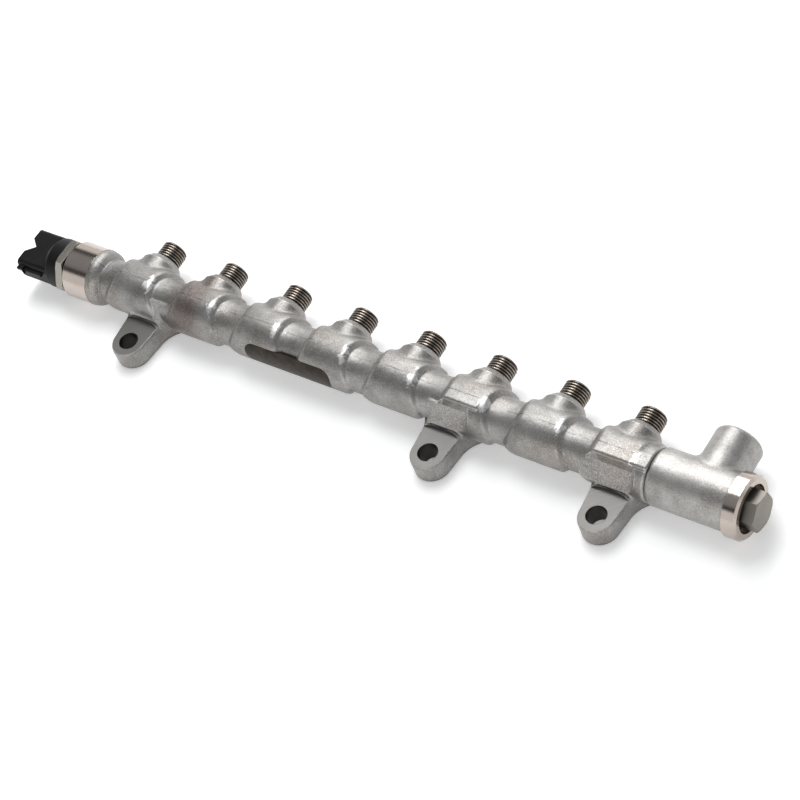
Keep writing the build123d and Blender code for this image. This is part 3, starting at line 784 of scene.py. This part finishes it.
@dataclass
class RailBody:
    """The forged rail with its machined seats, collar, ring and outlet stubs."""

    # Outlets: the plain stub, slimmed to sit under its thread, and the boss under it.
    stub_r: float = 6.05 * MM
    thread_r: float = 7.0 * MM
    thread_start_y: float = 49.3 * MM
    thread_end_y: float = 57.2 * MM
    boss_top_y: float = 47.6 * MM
    boss_reach: float = 2.0 * MM
    # Bores: the widest that counts as one, and the height up to which holes run across the rail.
    bore_r: float = 9.2 * MM
    bore_end_y: float = 55.0 * MM
    # Lugs: milled seat, the arc of the wall behind it, the hole, and where a lug ends.
    seat_z: float = 12.0 * MM
    seat_reach: float = 20.0 * MM
    lug_end_y: float = AXIS_Y - 5.5 * MM
    wall_centre_y: float = -30.3 * MM
    wall_r: float = 44.0 * MM
    hole_r: float = 5.25 * MM
    # Turned ends.
    collar_end_x: float = -227.1 * MM
    ring_start_x: float = 155.3 * MM
    # Sloping web over each lug and the band under its ledge, which meet in a crease.
    web_normal: tuple[float, float, float] = (0.0, -0.841, 0.541)
    band_normal: tuple[float, float, float] = (0.0, -0.931, 0.364)
    web_crease: tuple[float, float, float] = (0.0, 20.0 * MM, 25.4 * MM)
    web_depth: float = 0.6 * MM
    # How near a face has to be to a size, and how squarely it has to face a way.
    slack: float = 0.06 * MM
    web_facing: float = 0.997
    facing: float = 0.99
    upright: float = 0.5
    finishes: dict[Zone, Finish] = field(default_factory=lambda: {
        Zone.FORGED: ForgedSteel(),
        # Face-milled seat: bluish grey, fine crossing arcs.
        Zone.MILLED: CutSteel(
            name="milled_steel", shade="7a7977", tint="696765", roughness=0.46, line_mm=0.8,
        ),
        # Finely turned collar and ring: a warm mirror with dark bands of the room in it.
        Zone.TURNED: CutSteel(name="finely_turned_steel", shade="c2b9b2", tint="b0a49b", roughness=0.16),
        # Drilled and reamed holes: dark, since little light gets in.
        Zone.BORED: CutSteel(name="drilled_steel", shade="4a4744", tint="33302e", roughness=0.35),
        Zone.THREAD: ThreadSteel(),
        # Web faces, peened hardest: a coarse bright sparkle, and a lighter tone painted on as the light that
        # falls on them.
        Zone.WEB: ForgedSteel(
            name="peened_forged_steel_painted_lit", shade="9b9996", dark="827f7b", sparkle=0.42, pitting=0.4,
        ),
        # Band under the ledge, smooth from the die: plainer, and painted darker as the shade that falls on
        # it.
        Zone.BAND: ForgedSteel(name="die_smooth_forged_steel_painted_shade", shade="6b6966", dark="5a5855", sparkle=0.15),
        # Barrel and return boss, blasted last: a lighter, cleaner grey than the blocks.
        Zone.BARREL: ForgedSteel(name="clean_forged_steel", shade="a6a4a1", dark="918e8b", pale="b8b7b5"),
    })

    def build(self, frame: dict[str, Any]) -> bpy.types.Object:
        """Copy the frame's rail, slim its outlets for the threads and dress its zones.


        Returns:
            The dressed rail.
        """
        shape = copy_solid(frame, "rail_body")
        self.slim_outlets(shape)
        for face in shape.faces:
            face.material_index = self.zone(face).value
        piece = add_piece("rail_forging", shape, [self.finishes[zone].material() for zone in Zone])
        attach(piece, Body.RAIL.value)
        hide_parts("rail_body")
        return piece

    def outlet_offset(self, point: Vector) -> Vector:
        """Give a point's offset from the nearest outlet's axis, across that axis."""
        number = round((point.x - FIRST_NOZZLE_X) / NOZZLE_PITCH)
        number = min(max(number, 0), NOZZLE_COUNT - 1)
        return Vector((point.x - FIRST_NOZZLE_X - number * NOZZLE_PITCH, 0.0, point.z - AXIS_Z))

    def slim_outlets(self, shape: bmesh.types.BMesh) -> None:
        """Bring the plain outlets in to under the thread's root.

        Args:
            shape: the rail's mesh, in metres.
        """
        for vert in shape.verts:
            offset = self.outlet_offset(vert.co)
            on_thread = abs(offset.length - self.thread_r) < self.slack
            in_reach = self.thread_start_y - self.slack < vert.co.y < self.thread_end_y + self.slack
            if on_thread and in_reach:
                vert.co -= offset.normalized() * (self.thread_r - self.stub_r)

    def zone(self, face: bmesh.types.BMFace) -> Zone:
        """Tell which zone a face of the rail belongs to.

        Args:
            face: a face of the rail's mesh.

        Returns:
            The zone whose finish it gets.
        """
        middle = face.calc_center_median()
        radial = math.hypot(middle.y - AXIS_Y, middle.z - AXIS_Z)
        offset = self.outlet_offset(middle).length
        if middle.y > self.boss_top_y + self.slack and offset < self.thread_r + self.boss_reach:
            return Zone.THREAD
        if middle.x < self.collar_end_x + self.slack or middle.x > self.ring_start_x - self.slack:
            return Zone.TURNED
        if radial < self.bore_r and middle.y < self.bore_end_y and abs(face.normal.x) < self.facing:
            return Zone.BORED
        for lug_x in LUG_XS:
            if abs(middle.x - lug_x) < self.seat_reach and middle.y < self.lug_end_y:
                found = self.lug_zone(face, middle, lug_x)
                if found is not None:
                    return found
        return Zone.BARREL if middle.x > BARREL_X else Zone.FORGED

    def lug_zone(self, face: bmesh.types.BMFace, middle: Vector, lug_x: float) -> Zone | None:
        """Tell which zone a face of a lug belongs to.

        Args:
            face: a face near the lug.
            middle: the face's middle.
            lug_x: place of the lug's hole along the rail.

        Returns:
            The zone, or None on the lug's forged skin.
        """
        from_wall = math.hypot(middle.x - lug_x, middle.y - self.wall_centre_y) - self.wall_r
        from_hole = math.hypot(middle.x - lug_x, middle.y) - self.hole_r
        if abs(from_hole) < self.slack and abs(face.normal.z) < self.upright:
            return Zone.BORED
        if middle.z > self.seat_z - self.slack and abs(from_wall) < self.slack:
            return Zone.MILLED
        for zone, way in ((Zone.WEB, Vector(self.web_normal)), (Zone.BAND, Vector(self.band_normal))):
            depth = (middle - Vector(self.web_crease)).dot(way)
            faces_way = face.normal.dot(way) > self.web_facing
            if middle.z > self.seat_z and faces_way and abs(depth) < self.web_depth:
                return zone
        if abs(middle.z - self.seat_z) < self.slack and face.normal.z > self.facing:
            return Zone.MILLED
        return None


@dataclass
class OutletThreads:
    """The M14 x 1.5 threads of the eight outlets, each a closed sleeve round its stub."""

    crest_r: float = 7.0 * MM
    root_r: float = 6.13 * MM
    inner_r: float = 5.8 * MM
    pitch: float = 1.5 * MM
    crest_flat: float = 0.19 * MM
    root_flat: float = 0.31 * MM
    start_y: float = 49.2 * MM
    end_y: float = 57.7 * MM
    tip_y: float = 58.0 * MM
    tip_r: float = 6.2 * MM
    steps: int = 48
    turns: int = 8
    weld: float = 0.005 * MM

    def build(self, material: bpy.types.Material) -> None:
        """Make one sleeve for each outlet, from the sensor's end.

        Args:
            material: finish of the threads.
        """
        for number in range(NOZZLE_COUNT):
            shape = self.sleeve()
            bmesh.ops.translate(
                shape, verts=shape.verts, vec=(FIRST_NOZZLE_X + number * NOZZLE_PITCH, 0.0, AXIS_Z),
            )
            piece = add_piece(f"outlet_thread_{number + 1}", shape, [material], sharp=None)
            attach(piece, Body.RAIL.value)

    def sleeve(self) -> bmesh.types.BMesh:
        """Screw one thread form round the Y axis, trim it and close it into a ring.

        Returns:
            The sleeve's shape about X = Z = 0.
        """
        flank = (self.pitch - self.crest_flat - self.root_flat) / 2
        form = (
            (self.root_r, 0.0),
            (self.root_r, self.root_flat),
            (self.crest_r, self.root_flat + flank),
            (self.crest_r, self.root_flat + flank + self.crest_flat),
            (self.root_r, self.pitch),
        )
        shape = bmesh.new()
        first = self.start_y - self.pitch
        chain = [shape.verts.new((radius, first + rise, 0.0)) for radius, rise in form]
        edges = [shape.edges.new(pair) for pair in zip(chain, chain[1:])]
        bmesh.ops.spin(
            shape, geom=chain + edges, cent=(0, 0, 0), axis=(0, 1, 0), angle=math.tau * self.turns,
            dvec=(0, self.pitch / self.steps, 0), steps=self.steps * self.turns,
        )
        bmesh.ops.remove_doubles(shape, verts=shape.verts, dist=self.weld)
        for height, side in ((self.start_y, -1), (self.end_y, 1)):
            bmesh.ops.bisect_plane(
                shape, geom=shape.verts[:] + shape.edges[:] + shape.faces[:], dist=CUT_SLACK,
                plane_co=(0, height, 0), plane_no=(0, side, 0), clear_outer=True,
            )
        self.taper_tip(shape)
        self.close(shape)
        return shape

    def taper_tip(self, shape: bmesh.types.BMesh) -> None:
        """Turn the lead-in chamfer on the sleeve's outer end.

        Args:
            shape: the screwed sleeve.
        """
        for vert in shape.verts:
            radius = math.hypot(vert.co.x, vert.co.z)
            limit = self.tip_r + self.tip_y - vert.co.y
            if radius > limit:
                vert.co.x *= limit / radius
                vert.co.z *= limit / radius

    def close(self, shape: bmesh.types.BMesh) -> None:
        """Draw both rims in and join them by an inner wall.

        Args:
            shape: the trimmed sleeve.
        """
        rims = [edge for edge in shape.edges if edge.is_boundary]
        grown = bmesh.ops.extrude_edge_only(shape, edges=rims)["geom"]
        for vert in (item for item in grown if isinstance(item, bmesh.types.BMVert)):
            radius = math.hypot(vert.co.x, vert.co.z)
            vert.co.x *= self.inner_r / radius
            vert.co.z *= self.inner_r / radius
        inner = [item for item in grown if isinstance(item, bmesh.types.BMEdge) and item.is_boundary]
        bmesh.ops.bridge_loops(shape, edges=inner)
        face_outwards(shape)


@dataclass
class MarkingPad:
    """The raised, darkened pad for the part's markings, left bare, on the front between two blocks."""

    left_x: float = -120.6 * MM
    right_x: float = -66.6 * MM
    centre_y: float = AXIS_Y + 0.6 * MM
    outer_r: float = 14.33 * MM
    inner_r: float = 11.2 * MM
    low_angle: float = math.radians(147)
    high_angle: float = math.radians(203)
    corner: float = 5.6 * MM
    corner_segments: int = 8
    rim: float = 0.5 * MM
    slope: float = 0.25 * MM
    sink: float = 0.12 * MM
    strip: float = 0.9 * MM
    finish: Finish = field(default_factory=Coating)

    def build(self) -> None:
        """Wrap the stadium round the rail and coat it."""
        width = (self.high_angle - self.low_angle) * self.outer_r
        shape = self.stadium(width)
        for number in range(1, int(width / self.strip)):
            bmesh.ops.bisect_plane(
                shape, geom=shape.verts[:] + shape.edges[:] + shape.faces[:], dist=CUT_SLACK,
                plane_co=(0, number * self.strip - width / 2, 0), plane_no=(0, 1, 0),
            )
        middle_x = (self.left_x + self.right_x) / 2
        middle_angle = (self.low_angle + self.high_angle) / 2
        for vert in shape.verts:
            angle = middle_angle + vert.co.y / self.outer_r
            radius = self.outer_r + vert.co.z
            vert.co = Vector((
                middle_x + vert.co.x,
                self.centre_y + radius * math.cos(angle),
                AXIS_Z + radius * math.sin(angle),
            ))
        face_outwards(shape)
        for face in shape.faces:
            face.smooth = True
        piece = add_piece("marking_pad", shape, [self.finish.material()])
        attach(piece, Body.RAIL.value)

    def stadium(self, width: float) -> bmesh.types.BMesh:
        """Cut a flat stadium with its face sunk inside a rim, and give it its thickness.

        Args:
            width: its size across the rail.

        Returns:
            The pad before it is wrapped, with its outer side at Z = 0.
        """
        shape = bmesh.new()
        bmesh.ops.create_grid(shape, x_segments=1, y_segments=1, size=0.5)
        bmesh.ops.scale(shape, verts=shape.verts, vec=(self.right_x - self.left_x, width, 1.0))
        bmesh.ops.bevel(
            shape, geom=shape.verts[:], offset=self.corner, segments=self.corner_segments, profile=0.5,
            affect="VERTICES", material=-1,
        )
        face = shape.faces[:]
        bmesh.ops.inset_region(shape, faces=face, thickness=self.rim, depth=0.0)
        bmesh.ops.inset_region(shape, faces=face, thickness=self.slope, depth=-self.sink)
        rims = [edge for edge in shape.edges if edge.is_boundary]
        grown = bmesh.ops.extrude_edge_only(shape, edges=rims)["geom"]
        lower = [item for item in grown if isinstance(item, bmesh.types.BMVert)]
        bmesh.ops.translate(shape, verts=lower, vec=(0, 0, self.inner_r - self.outer_r))
        bmesh.ops.holes_fill(shape, edges=[edge for edge in shape.edges if edge.is_boundary])
        return shape


@dataclass
class ReliefSpring:
    """The relief valve's coil spring, copied as it stands in the frame; the real one shortens as the cone
    lifts off its seat, but nothing here presses it.
    """

    fixed_end_x: float = 158.4 * MM
    length: float = 11.0 * MM
    lift: float = 0.8 * MM
    sharp: float = math.radians(40)

    def build(self, frame: dict[str, Any], material: bpy.types.Material) -> None:
        """Copy the spring, give it a mesh of its own and hang it on the rail.

        Args:
            material: finish of the wire.
        """
        piece = add_piece("relief_spring", copy_solid(frame, "valve_spring"), [material], sharp=self.sharp)
        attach(piece, Body.RAIL.value)
        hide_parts("valve_spring")
        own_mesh(piece)


@dataclass
class CarriedNodes:
    """Frame solids whose shapes stay as they are and only get their finish."""

    replaced: tuple[str, ...] = ("rail_body", "valve_spring")

    def dress(self, frame: dict[str, Any], materials: dict[str, bpy.types.Material]) -> None:
        """Give each solid that isn't replaced the finish of its slot.

        Args:
            materials: finished material of each slot.
        """
        for name, node in frame["nodes"].items():
            if name in self.replaced:
                continue
            slot = node.data.materials[0].name.split(".")[0]
            node.material_slots[0].material = materials[slot]
            log.info("%s: %s", name, materials[slot].name)


@dataclass(frozen=True)
class Softbox:
    """A square lamp that is aimed at the object."""

    name: str
    place: tuple[float, float, float]
    size: float
    power: float


@dataclass
class Studio:
    """Floor, lamps, world and camera."""

    floor_size: float = 6.0
    floor_shade: str = "f4f4f4"
    floor_glow: float = 0.3
    # Colour of the room by height: white round the horizon, a dark gap, and a grey ceiling.
    room: tuple[tuple[float, str], ...] = (
        (0.0, "ffffff"), (0.4, "ffffff"), (0.48, "3c3e40"),
        (0.6, "3c3e40"), (0.68, "989a9c"), (1.0, "a6a8aa"),
    )
    softboxes: tuple[Softbox, ...] = (
        Softbox("overhead_softbox", (-0.35, 0.45, 1.2), 0.7, 9.0),
        Softbox("back_softbox", (-0.5, 1.1, 0.8), 0.6, 6.0),
        Softbox("side_softbox", (0.2, -1.2, 0.5), 0.5, 2.5),
    )
    aim: tuple[float, float, float] = (0.0, 0.0, 0.02)
    # Camera: its place, its own three axes, and its lens for a square picture of image_size pixels.
    camera_place: tuple[float, float, float] = (0.5946, -0.4575, 0.9477)
    camera_right: tuple[float, float, float] = (0.8085, 0.5215, -0.2726)
    camera_up: tuple[float, float, float] = (-0.2922, 0.7579, 0.5832)
    camera_back: tuple[float, float, float] = (0.5108, -0.3918, 0.7652)
    image_size: float = 800.0
    focal_px: float = 2498.5
    centre_px: tuple[float, float] = (400.7, 399.8)
    sensor_mm: float = 36.0
    nearest: float = 0.01

    def build(self) -> None:
        """Set up everything that isn't the object."""
        self.floor()
        self.world()
        self.lamps()
        self.camera()
        bpy.context.scene.view_settings.view_transform = "Standard"

    def floor(self) -> None:
        """Lay a plain pale floor that keeps the object's shadow."""
        shape = bmesh.new()
        bmesh.ops.create_grid(shape, x_segments=1, y_segments=1, size=self.floor_size / 2)
        piece = add_piece("studio_floor", shape, [self.paper()], sharp=None)

    def paper(self) -> bpy.types.Material:
        """Make white paper that glows a little where it is seen, but lights nothing.

        Returns:
            The floor's material.
        """
        made = bpy.data.materials.new("white_paper")
        made.use_nodes = True
        tree = made.node_tree
        tree.nodes.clear()
        paper = put(tree, "BsdfDiffuse", {"Color": linear(self.floor_shade)})
        glow = put(tree, "Emission", {"Color": linear("ffffff"), "Strength": self.floor_glow})
        unlit = put(tree, "Emission", {"Color": linear("000000"), "Strength": 0.0})
        path = put(tree, "LightPath")
        seen = path.outputs["Is Camera Ray"]
        for ray in ("Is Glossy Ray", "Is Transmission Ray"):
            seen = put(tree, "Math", {0: seen, 1: path.outputs[ray]}, operation="MAXIMUM").outputs[0]
        extra = put(tree, "MixShader", {0: seen, 1: unlit.outputs[0], 2: glow.outputs[0]})
        both = put(tree, "AddShader", {0: paper.outputs[0], 1: extra.outputs[0]})
        put(tree, "OutputMaterial", {"Surface": both.outputs[0]})
        return made

    def world(self) -> None:
        """Fill the room: white round the horizon, behind the floor, and a dimmer ceiling over it."""
        world = bpy.data.worlds.new("studio")
        bpy.context.scene.world = world
        world.use_nodes = True
        tree = world.node_tree
        tree.nodes.clear()
        way = put(tree, "TexCoord").outputs["Generated"]
        rise = put(tree, "SeparateXYZ", {"Vector": way}).outputs["Z"]
        room = put(tree, "ValToRGB", {"Fac": rise}, stops=self.room).outputs["Color"]
        fill = put(tree, "Background", {"Color": room, "Strength": 1.0})
        put(tree, "OutputWorld", {"Surface": fill.outputs[0]})

    def lamps(self) -> None:
        """Hang the soft lamps overhead, behind and, weakest, in front."""
        for box in self.softboxes:
            lamp = bpy.data.lights.new(box.name, "AREA")
            lamp.shape = "SQUARE"
            lamp.size = box.size
            lamp.energy = box.power
            holder = bpy.data.objects.new(box.name, lamp)
            bpy.context.collection.objects.link(holder)
            holder.location = box.place
            way = Vector(self.aim) - Vector(box.place)
            holder.rotation_euler = way.to_track_quat("-Z", "Y").to_euler()

    def camera(self) -> None:
        """Place the camera."""
        data = bpy.data.cameras.new("camera")
        data.sensor_width = self.sensor_mm
        data.lens = self.focal_px / self.image_size * self.sensor_mm
        data.shift_x = (self.image_size / 2 - self.centre_px[0]) / self.image_size
        data.shift_y = (self.centre_px[1] - self.image_size / 2) / self.image_size
        data.clip_start = self.nearest
        holder = bpy.data.objects.new("camera", data)
        bpy.context.collection.objects.link(holder)
        turn = Matrix((self.camera_right, self.camera_up, self.camera_back)).transposed()
        holder.matrix_world = Matrix.Translation(self.camera_place) @ turn.to_4x4()
        bpy.context.scene.camera = holder


def main() -> None:
    """Load the frame, dress it and set up the studio."""
    logging.basicConfig(level=logging.INFO, format="%(name)s %(message)s")
    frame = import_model()
    materials = {slot.value: finish.material() for slot, finish in FINISHES.items()}
    rail = RailBody().build(frame)
    OutletThreads().build(rail.data.materials[Zone.THREAD.value])
    MarkingPad().build()
    ReliefSpring().build(frame, materials[Slot.SPRING_STEEL.value])
    CarriedNodes().dress(frame, materials)
    Studio().build()


if __name__ == "__main__":
    main()
